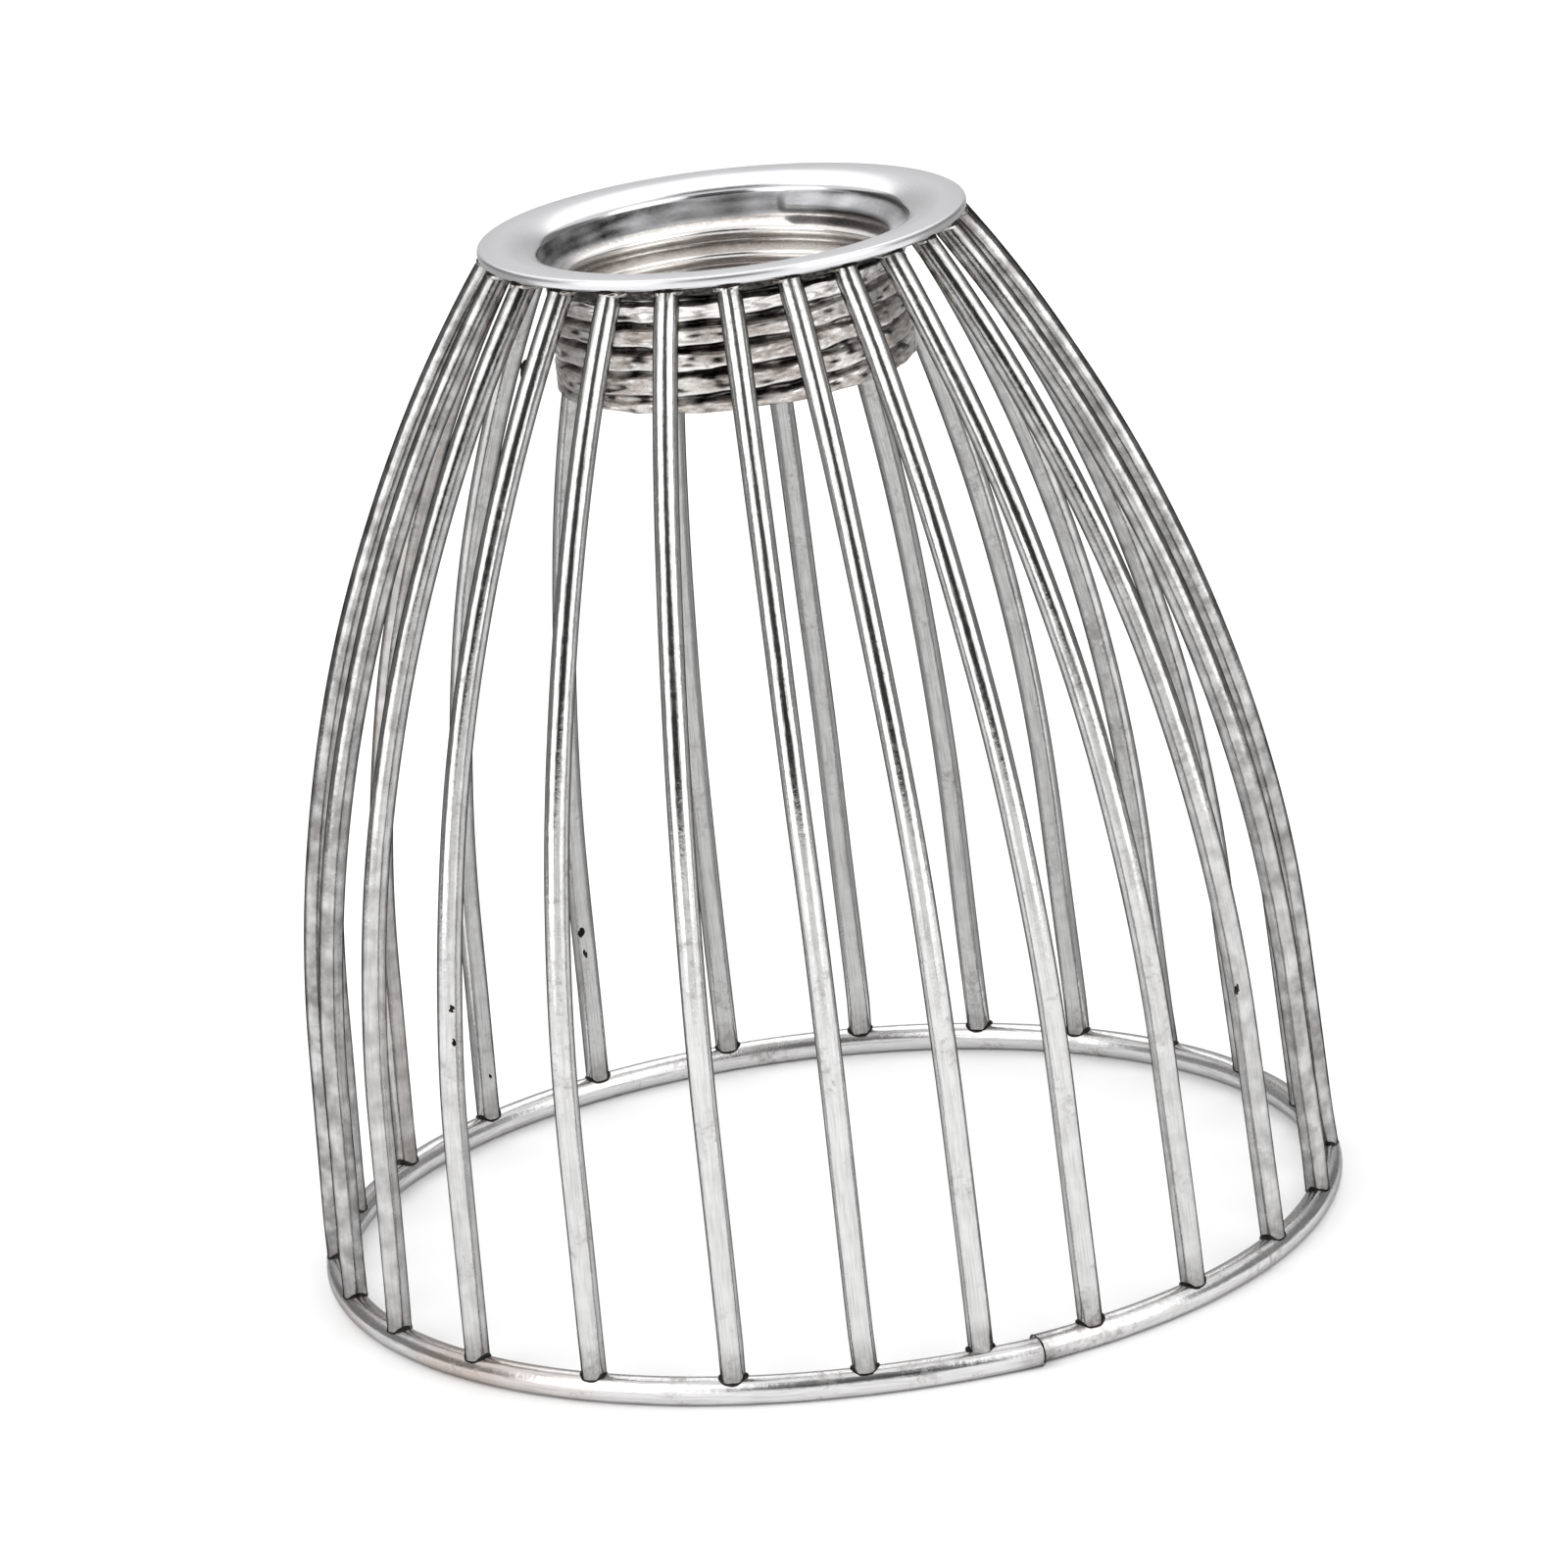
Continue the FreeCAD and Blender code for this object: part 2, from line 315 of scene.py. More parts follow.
# %% Where the wires stand
WIRE_FIRST = math.radians(-1.4)
WIRE_DRIFTS = ((2.35, 136.0), (1.0, -98.0), (1.5, 96.0), (0.35, 142.0), (0.65, 137.0))
BOW_TURN = math.radians(1.6)
BOW_TURN_WAVES = 4
BOW_TURN_START = math.radians(130)


def wire_azimuth(even):
    """Azimuth of a wire from the front: its even share of the turn and the drift of its hand-set place."""
    drift = sum(math.radians(swing) * math.sin(turn * even + math.radians(start))
                for turn, (swing, start) in enumerate(WIRE_DRIFTS, 1))
    return WIRE_FIRST + even + drift


def bow_turn(even):
    """Angle that a wire's bow is turned from the axis."""
    return BOW_TURN * math.sin(BOW_TURN_WAVES * even + BOW_TURN_START)


shares = [2 * math.pi * i / len(WIRE_NODES) for i in range(len(WIRE_NODES))]
stations = [wire_azimuth(even) for even in shares]
facings = [station + bow_turn(even) for station, even in zip(stations, shares)]
seats = [(RING_R * math.sin(a), -RING_R * math.cos(a), 0) for a in stations]
print("the first wires stand at", [round(math.degrees(a), 1) for a in stations[:4]], "degrees")

# %% How a wire bends
WIRE_R = 1.0 * MM
WIRE_LEAN = math.radians(2.3)
WIRE_STRAIGHT_H = 18.6 * MM
WIRE_FOOT_SINK = 0.25 * MM
WIRE_HEAD_INSET = 1.25 * MM
FLANGE_T = 0.9 * MM
FLANGE_UNDER = COLLAR_TOP - FLANGE_T
foot_rise = RING_WIRE_R - WIRE_FOOT_SINK
bow_start = Vector((RING_R - WIRE_STRAIGHT_H * math.tan(WIRE_LEAN), RING_WIRE_R + WIRE_STRAIGHT_H))
head = Vector((FLANGE_R - WIRE_HEAD_INSET, FLANGE_UNDER))
chord = head - bow_start
inward = Vector((-math.cos(WIRE_LEAN), -math.sin(WIRE_LEAN)))
bow_radius = chord.length_squared / (2 * chord.dot(inward))
bow_centre = bow_start + inward * bow_radius
head_angle = math.asin((head.y - bow_centre.y) / bow_radius)
straight_length = (WIRE_STRAIGHT_H - foot_rise) / math.cos(WIRE_LEAN)
wire_length = straight_length + bow_radius * (head_angle - WIRE_LEAN)
print("wire length", round(wire_length / MM, 1), "bow radius", round(bow_radius / MM, 1),
      "head leans", round(math.degrees(head_angle), 1))

# %% The wires' tree: a line of points with its own numbers
WIRE_POINTS_ALONG = 90
HEATED_LENGTH = 3 * MM
wire_tree, given = new_tree("guard_wires", [
    "Wire Length", "Overrun", "Straight Length", "Lean", "Bow Radius", "Bow Centre In", "Bow Centre Up",
    "Wire Radius", "Head Angle", "Head Height", "Wander"])
t = wire_tree
total = add(t, MATH, {0: given["Wire Length"], 1: given["Overrun"]}, operation="ADD")
line_end = add(t, COMBINE, {"Z": total})
line = add(t, "GeometryNodeCurvePrimitiveLine", {"End": line_end})
points = add(t, "GeometryNodeResampleCurve", {"Curve": line, "Count": WIRE_POINTS_ALONG})
length = add(t, "GeometryNodeSplineParameter", out="Length")
along = add(t, MATH, {0: length, 1: MM}, operation="DIVIDE")
left = add(t, MATH, {0: given["Wire Length"], 1: length}, operation="SUBTRACT")
nearest = add(t, MATH, {0: length, 1: left}, operation="MINIMUM")
weld = add(t, MAP_RANGE, {"Value": nearest, "From Min": 0.2 * MM, "From Max": HEATED_LENGTH,
                          "To Min": 1.0, "To Max": 0.0})
for name, number in (("along", along), ("weld", weld)):
    points = add(t, STORE, {"Geometry": points, "Name": name, "Value": number})

# %% The wires' tree: bend the line
past = add(t, MATH, {0: length, 1: given["Straight Length"]}, operation="SUBTRACT")
bowed = add(t, MATH, {0: past, 1: 0.0}, operation="MAXIMUM")
turned = add(t, MATH, {0: bowed, 1: given["Bow Radius"]}, operation="DIVIDE")
angle = add(t, MATH, {0: turned, 1: given["Lean"]}, operation="ADD")
short = add(t, MATH, {0: past, 1: 0.0}, operation="MINIMUM")
cosine, lean_cosine = [add(t, MATH, {0: a}, operation="COSINE") for a in (angle, given["Lean"])]
sine, lean_sine = [add(t, MATH, {0: a}, operation="SINE") for a in (angle, given["Lean"])]
bow_out = add(t, MATH, {0: cosine, 1: given["Bow Radius"]}, operation="MULTIPLY")
bow_in = add(t, MATH, {0: given["Bow Centre In"], 1: bow_out}, operation="SUBTRACT")
bow_up = add(t, MATH, {0: sine, 1: given["Bow Radius"], 2: given["Bow Centre Up"]},
             operation="MULTIPLY_ADD")
lean_in = add(t, MATH, {0: short, 1: lean_sine}, operation="MULTIPLY")
inwards = add(t, MATH, {0: lean_in, 1: bow_in}, operation="ADD")
height = add(t, MATH, {0: short, 1: lean_cosine, 2: bow_up}, operation="MULTIPLY_ADD")
bent_at = add(t, COMBINE, {"Y": inwards, "Z": height})
path = add(t, SET_POSITION, {"Geometry": points, "Position": bent_at})

# %% The wires' tree: make the tube and cut its head flush
WIRE_POINTS_AROUND = 28
WELDED_POINTS = 0.01 * MM


def round_tube(tree, path, radius):
    """Sweep a round section along a path, and store which way each point faces round it."""
    section = add(tree, "GeometryNodeCurvePrimitiveCircle", {"Resolution": WIRE_POINTS_AROUND,
                                                             "Radius": radius})
    spot = add(tree, "GeometryNodeInputPosition")
    facing = add(tree, VECTOR_MATH, {0: spot}, operation="NORMALIZE")
    section = add(tree, STORE,
                  {"Geometry": section, "Name": "around", "Value": facing}, data_type="FLOAT_VECTOR")
    return add(tree, "GeometryNodeCurveToMesh", {"Curve": path, "Profile Curve": section, "Fill Caps": True})


tube = round_tube(t, path, given["Wire Radius"])
place = add(t, "GeometryNodeInputPosition")
rise = add(t, "ShaderNodeSeparateXYZ", {0: place}, out="Z")
above = add(t, MATH, {0: rise, 1: given["Head Height"]}, operation="SUBTRACT")
proud = add(t, MATH, {0: above, 1: 0.0}, operation="MAXIMUM")
slope = add(t, MATH, {0: given["Head Angle"]}, operation="TANGENT")
back = add(t, MATH, {0: proud, 1: slope}, operation="MULTIPLY")
slide = add(t, COMBINE, {"Y": back, "Z": proud})
flush = add(t, VECTOR_MATH, {0: slide, "Scale": -1.0}, operation="SCALE")
tube = add(t, SET_POSITION, {"Geometry": tube, "Offset": flush})
tube = add(t, "GeometryNodeMergeByDistance", {"Geometry": tube, "Distance": WELDED_POINTS})

# %% The wires' tree: a wire at each place, each with its own slow wander
WANDER_SIZE = 35 * MM
azimuth = add(t, "GeometryNodeInputNamedAttribute", {"Name": "azimuth"})
turn = add(t, COMBINE, {"Z": azimuth})
basket = add(t, "GeometryNodeInstanceOnPoints", {"Points": given["Seed"], "Instance": tube,
                                                 "Rotation": turn})
basket = add(t, "GeometryNodeRealizeInstances", {"Geometry": basket})
drift = add(t, NOISE, {"Vector": place, "W": azimuth, "Scale": 1 / WANDER_SIZE,
                       "Detail": 1.0}, out="Color", noise_dimensions="4D")
centred = add(t, VECTOR_MATH, {0: drift, 1: (0.5, 0.5, 0.5)}, operation="SUBTRACT")
kept = add(t, "GeometryNodeInputNamedAttribute", {"Name": "weld"})
loose = add(t, MATH, {0: 1.0, 1: kept}, operation="SUBTRACT")
reach = add(t, MATH, {0: loose, 1: given["Wander"]}, operation="MULTIPLY")
shift = add(t, VECTOR_MATH, {0: centred, "Scale": reach}, operation="SCALE")
basket = add(t, SET_POSITION, {"Geometry": basket, "Offset": shift})
close_tree(t, basket, wire_finish)

# %% Grow the wires
WARM_WIRES = (17, 18)
warm_wires = [float(number in WARM_WIRES) for number in range(1, len(WIRE_NODES) + 1)]
# Painted shade: the wires at the left and right sides get the darker blotches, for the shade of the wires
# that crowd beside them when seen from the front.
worn_wires = [0.2 + 0.8 * abs(math.sin(station)) ** 4 for station in stations]
wire_places = seed_mesh("wire_places", seats, azimuth=facings, warm=warm_wires, worn=worn_wires)
wires = grow("guard_wires", wire_places, wire_tree, {
    "Wire Length": wire_length, "Overrun": 1.4 * MM, "Straight Length": straight_length, "Lean": WIRE_LEAN,
    "Bow Radius": bow_radius, "Bow Centre In": RING_R - bow_centre.x, "Bow Centre Up": bow_centre.y,
    "Wire Radius": WIRE_R, "Head Angle": head_angle, "Head Height": FLANGE_UNDER, "Wander": 0.5 * MM})
print("browner wires:", WARM_WIRES)
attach(wires, "root")
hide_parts(*WIRE_NODES)

# %% [markdown]
# ## Base ring
# One length of wire bent round until its ends meet. They were butted by hand, so the last stretch drifts
# outwards and the joint shows a step. The same trick as for the wires works: a line of points is bent
# by a rule, here an angle that grows with length and a drift that grows with its square.

# %% The ring's tree: a line of points with its own numbers
RING_POINTS_ALONG = 240
ring_tree, given = new_tree("base_ring_wire", [
    "Ring Radius", "Wire Radius", "Joint", "Gap Angle", "Drift", "Drift Angle", "Brown From Joint"])
t = ring_tree
line = add(t, "GeometryNodeCurvePrimitiveLine", {"End": (0, 0, 1)})
points = add(t, "GeometryNodeResampleCurve", {"Curve": line, "Count": RING_POINTS_ALONG})
share = add(t, "GeometryNodeSplineParameter", out="Factor")
sweep = add(t, MATH, {0: 2 * math.pi, 1: given["Gap Angle"]}, operation="SUBTRACT")
swept = add(t, MATH, {0: share, 1: sweep}, operation="MULTIPLY")
to_end = add(t, MATH, {0: sweep, 1: swept}, operation="SUBTRACT")
arc = add(t, MATH, {0: swept, 1: given["Ring Radius"]}, operation="MULTIPLY")
along = add(t, MATH, {0: arc, 1: MM}, operation="DIVIDE")
nearest = add(t, MATH, {0: swept, 1: to_end}, operation="MINIMUM")
weld = add(t, MAP_RANGE, {"Value": nearest, "From Min": 0.005, "From Max": 0.06,
                          "To Min": 1.0, "To Max": 0.0})
from_brown = add(t, MATH, {0: to_end, 1: given["Brown From Joint"]}, operation="SUBTRACT")
from_brown = add(t, MATH, {0: from_brown}, operation="ABSOLUTE")
warm = add(t, MAP_RANGE, {"Value": from_brown, "From Min": 0.15, "From Max": 0.5,
                          "To Min": 1.0, "To Max": 0.0})
for name, number in (("along", along), ("weld", weld), ("warm", warm)):
    points = add(t, STORE, {"Geometry": points, "Name": name, "Value": number})

# %% The ring's tree: bend the line round and make the tube
drifting = add(t, MAP_RANGE, {"Value": to_end, "From Min": given["Drift Angle"], "From Max": 0.0})
squared = add(t, MATH, {0: drifting, 1: drifting}, operation="MULTIPLY")
radius = add(t, MATH, {0: squared, 1: given["Drift"], 2: given["Ring Radius"]}, operation="MULTIPLY_ADD")
half_gap = add(t, MATH, {0: given["Gap Angle"], 1: 0.5, 2: given["Joint"]}, operation="MULTIPLY_ADD")
bearing = add(t, MATH, {0: swept, 1: half_gap}, operation="ADD")
sine = add(t, MATH, {0: bearing}, operation="SINE")
cosine = add(t, MATH, {0: bearing}, operation="COSINE")
ahead = add(t, MATH, {0: cosine, 1: -1.0}, operation="MULTIPLY")
bearing_out = add(t, COMBINE, {"X": sine, "Y": ahead})
out = add(t, VECTOR_MATH, {0: bearing_out, "Scale": radius}, operation="SCALE")
lift = add(t, COMBINE, {"Z": given["Wire Radius"]})
bent_at = add(t, VECTOR_MATH, {0: out, 1: lift}, operation="ADD")
path = add(t, SET_POSITION, {"Geometry": points, "Position": bent_at})
path = add(t, "GeometryNodeSetCurveNormal", {"Curve": path}, mode="Z_UP")
close_tree(t, round_tube(t, path, given["Wire Radius"]), ring_finish)

# %% Grow the ring
RING_JOINT = math.radians(20.5)
RING_JOINT_GAP = 0.15 * MM
RING_END_DRIFT = 0.7 * MM
RING_DRIFT_ANGLE = math.radians(28.5)
RING_BROWN = math.radians(72)
ring = grow("ring_wire", seed_mesh("ring_place", [(0, 0, 0)]), ring_tree, {
    "Ring Radius": RING_R, "Wire Radius": RING_WIRE_R, "Joint": RING_JOINT,
    "Gap Angle": RING_JOINT_GAP / RING_R, "Drift": RING_END_DRIFT, "Drift Angle": RING_DRIFT_ANGLE,
    "Brown From Joint": RING_BROWN})
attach(ring, "root")
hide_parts("base_ring")

# %% [markdown]
# ## Threaded collar
# The collar is pressed sheet: a flange that is flat along its rim and dips towards the hole, a round lip,
# a short funnel and a sleeve. A thread is rolled into the sleeve from outside, so each groove outside
# is a ridge inside, broad and round there because the sheet bends. A turned profile would give rings,
# not a thread, so the section is worked out afresh at each angle, with the thread one pitch lower for
# each turn. The roll pressed less deep on the right, where the sheet crumpled instead. Dark lines are
# painted where the lip and funnel fold, as the shade of those folds, with two broader darker patches;
# shade is painted into the grooves, the inner troughs and under the flange as well.

# %% Corners of the collar's section
FLANGE_EDGE_R = 0.3 * MM
DIP_W = 1.62 * MM
DIP_ANGLE = 29
DIP_R = 5.0 * MM
LIP_R = 0.8 * MM
NECK_R = 14.1 * MM
FUNNEL_W = 0.93 * MM
FUNNEL_ANGLE = 70
FUNNEL_CORNER_W = 0.42 * MM
SLEEVE_WALL = 0.5 * MM
SLEEVE_R = NECK_R + SLEEVE_WALL
dip_slope = math.tan(math.radians(DIP_ANGLE))
funnel_slope = math.tan(math.radians(FUNNEL_ANGLE))
lip_corner = Vector((NECK_R + FUNNEL_W, COLLAR_TOP - DIP_W * dip_slope))
dip_corner_r = lip_corner.x + DIP_W
under_corner_r = lip_corner.x + FUNNEL_CORNER_W
under_corner_z = FLANGE_UNDER - (dip_corner_r - under_corner_r) * dip_slope


def arc_points(centre, radius, start, end, steps):
    """Points of an arc in the collar's section, from one angle to another in degrees."""
    angles = [math.radians(start + (end - start) * i / steps) for i in range(steps + 1)]
    return [(centre[0] + radius * math.cos(a), centre[1] + radius * math.sin(a)) for a in angles]


def lip_points():
    """The dip of the flange and the round lip at its hole, from the flat rim down to the funnel."""
    dip_start = dip_corner_r + DIP_R * math.tan(math.radians(DIP_ANGLE / 2))
    dip_arc = arc_points((dip_start, COLLAR_TOP - DIP_R), DIP_R, 90, 90 + DIP_ANGLE, 10)
    dip = math.radians(DIP_ANGLE)
    setback = LIP_R * math.tan(math.radians(FUNNEL_ANGLE - DIP_ANGLE) / 2)
    first = lip_corner + setback * Vector((math.cos(dip), math.sin(dip)))
    centre = first + LIP_R * Vector((math.sin(dip), -math.cos(dip)))
    return dip_arc + arc_points(centre, LIP_R, 90 + DIP_ANGLE, 90 + FUNNEL_ANGLE, 8)


LIP_POINTS = lip_points()
print("the lip ends", round((COLLAR_TOP - LIP_POINTS[-1][1]) / MM, 2), "mm below the flange's top")

# %% Painted shade of the folds on lip and funnel
# Painted shade of the folds on lip and funnel, and two broader darker patches: depth and half height
# in mm, bearing and half width in degrees, and how dark each is.
FOLD_SHADES = ((0.78, 0.09, 179, 18, 0.9), (1.15, 0.14, 115, 32, 0.85), (2.65, 0.3, 118, 30, 0.85),
           (1.7, 0.6, 235, 35, 0.25), (2.95, 0.4, 235, 35, 0.4))


def clamp(value):
    """A number held between 0 and 1."""
    return min(1.0, max(0.0, value))


def wobble(out, z, size):
    """Smooth noise from -1 to 1 at a place on the collar, for features of a size."""
    return noise.noise(Vector((out.x * SLEEVE_R, out.y * SLEEVE_R, z)) / size)


def streak(out, z, long, tall):
    """Smooth noise from -1 to 1, drawn out along the thread: how long and how tall its marks are."""
    return noise.noise(Vector((out.x * SLEEVE_R / long, out.y * SLEEVE_R / long, z / tall)))


def fold_shade(depth, azimuth):
    """How dark the painted shade of the folds makes a place on the lip or in the funnel, from 0 to 1."""
    grime_and_shade = 0.0
    for at, half_height, bearing, half_width, dark in FOLD_SHADES:
        up = (depth / MM - at) / half_height
        across = (math.degrees(azimuth) - bearing) / half_width
        grime_and_shade += dark * math.exp(-up ** 2 - across ** 4)
    return min(1.0, grime_and_shade)


print(len(FOLD_SHADES), "creases and stains")

# %% The thread, inside and outside
THREAD_PITCH = 2.0 * MM
THREAD_START = 2.0 * MM
THREAD_TURNS = 4.7
THREAD_START_AZIMUTH = math.radians(161)
RIDGE_H = NECK_R - THREAD_CREST_R
GROOVE_H = 0.85 * MM
GROOVE_HALF_WIDTH = 0.26 * MM
GROOVE_SHAKE = 0.12 * MM
# Painted highlight: a band this far above each groove is made cleaner and smoother, so lighter in colour.
HIGHLIGHT_ABOVE_GROOVE = 0.45 * MM
HIGHLIGHT_HALF_HEIGHT = 0.16 * MM
FIRST_LAND_DEPTH = 4.3 * MM
# Painted shadow: the sleeve is near-black down to this depth under the flange.
RIM_SHADE_DEPTH = 3.2 * MM
CRUMPLED_AZIMUTH = math.radians(55)
CRUMPLED_SPREAD = math.radians(26)


def nearest_turn(depth, azimuth):
    """Depth below the nearest line of the thread, and how fully the thread is rolled there."""
    first_turn = ((THREAD_START_AZIMUTH - azimuth) / (2 * math.pi)) % 1.0
    count = max(0, round((depth - THREAD_START) / THREAD_PITCH - first_turn))
    turn = first_turn + count
    rolled = min(1.0, turn / 0.012) * clamp((THREAD_TURNS - turn) / 0.25)
    return depth - THREAD_START - THREAD_PITCH * turn, rolled


def inner_ridge(depth, azimuth):
    """How far the sheet stands in, from 0 to 1: a smooth wave one pitch long."""
    off, rolled = nearest_turn(depth, azimuth)
    if abs(off) > THREAD_PITCH / 2:
        return 0.0
    return rolled * (0.5 + 0.5 * math.cos(2 * math.pi * off / THREAD_PITCH))


def outer_wall(azimuth, out, z):
    """Radius, polish with a painted highlight band, and grime with painted shade of the sleeve's outside at a
    height: lands, grooves, dents and scars.
    """
    depth = COLLAR_TOP - z
    crumple = math.exp(-((azimuth - CRUMPLED_AZIMUTH) / CRUMPLED_SPREAD) ** 2)
    off, rolled = nearest_turn(depth + GROOVE_SHAKE * wobble(out, z, 2.2 * MM), azimuth)
    width = GROOVE_HALF_WIDTH * (1 + 0.8 * streak(out, z, 2.5 * MM, 1.5 * MM))
    cut = rolled * math.exp(-(off / width) ** 4) * (1 - 0.55 * crumple)
    dents = MM * (0.03 + 0.2 * crumple) * (wobble(out, z, 1.3 * MM) - 0.8)
    scratch = streak(out, z, 1.6 * MM, 0.3 * MM)
    scars = MM * (0.05 * scratch + 0.08 * crumple * wobble(out, z, 0.5 * MM))
    funnel = under_corner_r - (under_corner_z - z) / funnel_slope
    r = max(SLEEVE_R, funnel) - GROOVE_H * cut + dents + scars

    # Painted highlight: the band just above each groove gets a lighter, cleaner colour.
    groove_highlight = rolled * math.exp(-((off + HIGHLIGHT_ABOVE_GROOVE) / HIGHLIGHT_HALF_HEIGHT) ** 2)
    polish_and_highlight = max(groove_highlight, 1.5 * scratch, float(depth < FIRST_LAND_DEPTH))
    # Painted shade: each groove is darkened, broken up by noise; the dashes and crumple darkening below are
    # grime.
    grime_and_shade = cut * (0.85 + 0.9 * streak(out, z, 2.0 * MM, 1.2 * MM))
    grime_and_shade += max(0.0, 2.6 * streak(out, z + 7 * MM, 1.4 * MM, 0.35 * MM) - 0.3) * (1 - groove_highlight)
    grime_and_shade += 0.6 * crumple * max(0.0, wobble(out, z, 0.9 * MM))
    # Painted shadow: a near-black band on the sleeve just under the flange.
    grime_and_shade = max(grime_and_shade, min(0.97, (RIM_SHADE_DEPTH - depth) / (0.25 * MM)))
    return r, clamp(polish_and_highlight), clamp(grime_and_shade)


print("ridges stand in by", round(RIDGE_H / MM, 2), "mm, grooves are", round(GROOVE_H / MM, 2), "mm deep")

# %% The collar's section at one angle
THREAD_ROWS = 90
FUNNEL_DEPTH = 2.6 * MM


def inner_wall(azimuth, out, z):
    """Radius, polish, grime with painted shade, and material of the funnel and the threaded bore at a height.
    """
    depth = COLLAR_TOP - z
    ridge = inner_ridge(depth, azimuth)
    wall = max(NECK_R, lip_corner.x - (lip_corner.y - z) / funnel_slope)
    scuff = 0.04 * MM * wobble(out, z, 3 * MM)
    threaded = clamp((depth - FUNNEL_DEPTH) / (0.4 * MM))
    # The funnel above the thread is made darker, unevenly.
    funnel_darkening = 0.57 + 0.3 * wobble(out, z, 2.2 * MM) + 0.3 * streak(out, z, 3 * MM, 0.5 * MM)
    # Painted shade in the troughs between the inner ridges.
    grime_and_shade = 0.3 * (1 - ridge) ** 3 * threaded + funnel_darkening * (1 - threaded) * (1 - 0.5 * ridge)
    grime_and_shade += fold_shade(depth, azimuth)
    polish_and_highlight = 0.3 * threaded + 0.6 * threaded * ridge
    return wall - RIDGE_H * ridge + scuff * (1 - ridge), polish_and_highlight, clamp(grime_and_shade), int(threaded)


def collar_section(azimuth, out):
    """Closed section of the collar as (radius, height, polish and highlight, grime and shade, is_thread)
    rows.
    """
    rim = FLANGE_R - FLANGE_EDGE_R
    lower = arc_points((rim, FLANGE_UNDER + FLANGE_EDGE_R), FLANGE_EDGE_R, -90, 0, 4)
    upper = arc_points((rim, COLLAR_TOP - FLANGE_EDGE_R), FLANGE_EDGE_R, 0, 90, 4)
    rows = [(r, z, 0.9, 0.0, 0) for r, z in lower]
    rows += [(r, z, 0.6, 0.0, 0) for r, z in upper]
    for i, (r, z) in enumerate(LIP_POINTS):
        # Painted shade of the folds on the lip.
        rows.append((r, z, min(1.0, 0.5 + i / 28), fold_shade(COLLAR_TOP - z, azimuth), 0))
    funnel_top = LIP_POINTS[-1][1]
    end = SLEEVE_END + 0.15 * MM * (1 + wobble(out, SLEEVE_END, 2.5 * MM))
    outer = []
    for i in range(1, THREAD_ROWS + 1):
        z = funnel_top + (end - funnel_top) * i / THREAD_ROWS
        r, polish_and_highlight, grime_and_shade, is_thread = inner_wall(azimuth, out, z)
        rows.append((r, z, polish_and_highlight, grime_and_shade, is_thread))
        if z < under_corner_z:
            r, polish_and_highlight, grime_and_shade = outer_wall(azimuth, out, z)
            outer.append((r, z, polish_and_highlight, grime_and_shade, 1))
    under = [(under_corner_r, under_corner_z), (dip_corner_r, FLANGE_UNDER - 0.05 * MM),
             (dip_corner_r + 0.4 * MM, FLANGE_UNDER)]
    # Painted shade: the flange's underside and the corner below it are near-black.
    return rows + outer[::-1] + [(r, z, 0.0, 0.9, 1) for r, z in under]


print("the section in front has", len(collar_section(0.0, Vector((0, -1, 0)))), "points")

# %% Turn the section round the axis
COLLAR_COLUMNS = 320


def make_collar():
    """The collar as one closed mesh: columns round the axis, rows along the section."""
    mesh = bmesh.new()
    polish_and_highlight_layer = mesh.verts.layers.float.new("polish_and_highlight")
    grime_and_shade_layer = mesh.verts.layers.float.new("grime_and_shade")
    columns = []
    for c in range(COLLAR_COLUMNS):
        azimuth = 2 * math.pi * c / COLLAR_COLUMNS
        out = Vector((math.sin(azimuth), -math.cos(azimuth), 0))
        rows = collar_section(azimuth, out)
        columns.append([])
        for r, z, polish_and_highlight, grime_and_shade, _ in rows:
            vertex = mesh.verts.new(out * r + Vector((0, 0, z)))
            vertex[polish_and_highlight_layer] = polish_and_highlight
            vertex[grime_and_shade_layer] = grime_and_shade
            columns[-1].append(vertex)
    count = len(rows)
    for c in range(COLLAR_COLUMNS):
        here = columns[c]
        there = columns[(c + 1) % COLLAR_COLUMNS]
        for i in range(count):
            j = (i + 1) % count
            face = mesh.faces.new((here[i], there[i], there[j], here[j]))
            face.smooth = True
            face.material_index = rows[j][4]
    bmesh.ops.recalc_face_normals(mesh, faces=mesh.faces)
    data = bpy.data.meshes.new("flanged_collar")
    mesh.to_mesh(data)
    mesh.free()
    data.materials.append(flange_finish)
    data.materials.append(thread_finish)
    piece = bpy.data.objects.new("flanged_collar", data)
    bpy.context.scene.collection.objects.link(piece)
    return piece


collar = make_collar()
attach(collar, "root")
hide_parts("threaded_collar")
print("flanged_collar has", len(collar.data.polygons), "faces")

# %% [markdown]
# ## Weld seams
# Each wire was resistance-welded at both ends. At the foot a thin dark seam follows the line where the
# wire meets the ring: up at the sides, where the wire sinks in the crown, and down in front, where its
# square end stands over the round. It is partly burnt weld and partly painted shade, filling the gap
# under the square end with dark. At the head a brighter, lumpier seam lies under the flange, with a
# dark line against it that is painted shade under the flange. All are a ring of points set on that
# line, with a bead that swells and thins along it. The ring's butted ends have such a line too, where
# metal was squeezed out between them; its dark colour is painted shade of the gap and step there.

